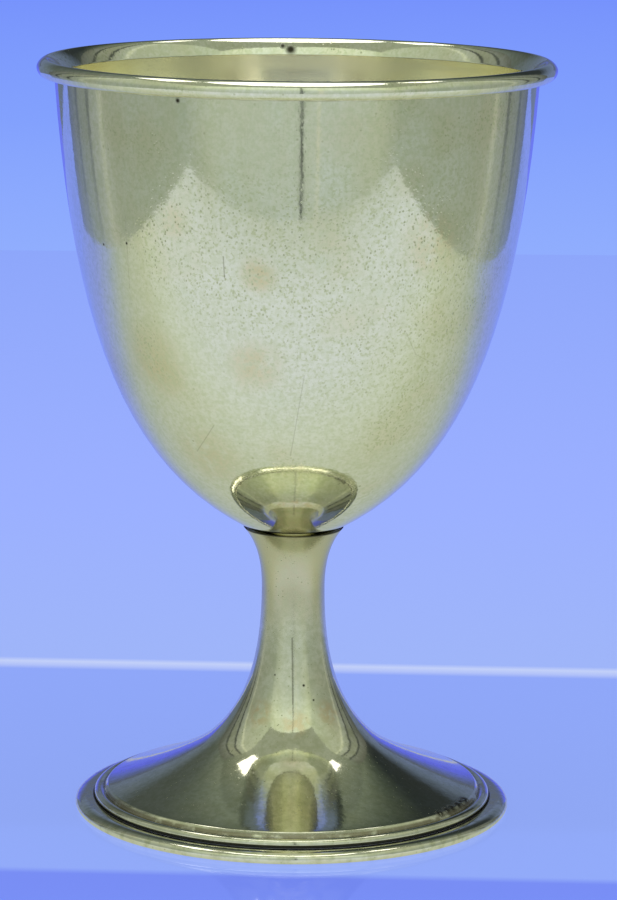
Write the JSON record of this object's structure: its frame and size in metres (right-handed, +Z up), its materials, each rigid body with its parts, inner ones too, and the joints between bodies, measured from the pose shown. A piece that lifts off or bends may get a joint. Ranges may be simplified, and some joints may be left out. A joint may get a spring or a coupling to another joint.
{
  "type": "kiddush cup",
  "caption": "Silver kiddush cup: a deep plain bowl with a rounded lip on a hollow trumpet stem and a stepped round foot.",
  "frame": {"origin": "centre of the foot's underside, at the height of the surface the cup stands on", "axes": "+Z up along the cup's axis, from the foot to the lip"},
  "size_m": [0.0858, 0.0858, 0.127],
  "materials": {
    "bowl_silver": "polished silver, lightly toned, with a warm gilt wash inside",
    "foot_silver": "polished silver, lightly toned, with fine scratches",
    "ring_silver": "polished silver, worn and darker in the groove"
  },
  "bodies": {
    "root": {"bowl": "bowl_silver", "stem_and_foot": "foot_silver", "foot_ring": "ring_silver"}
  },
  "joints": []
}
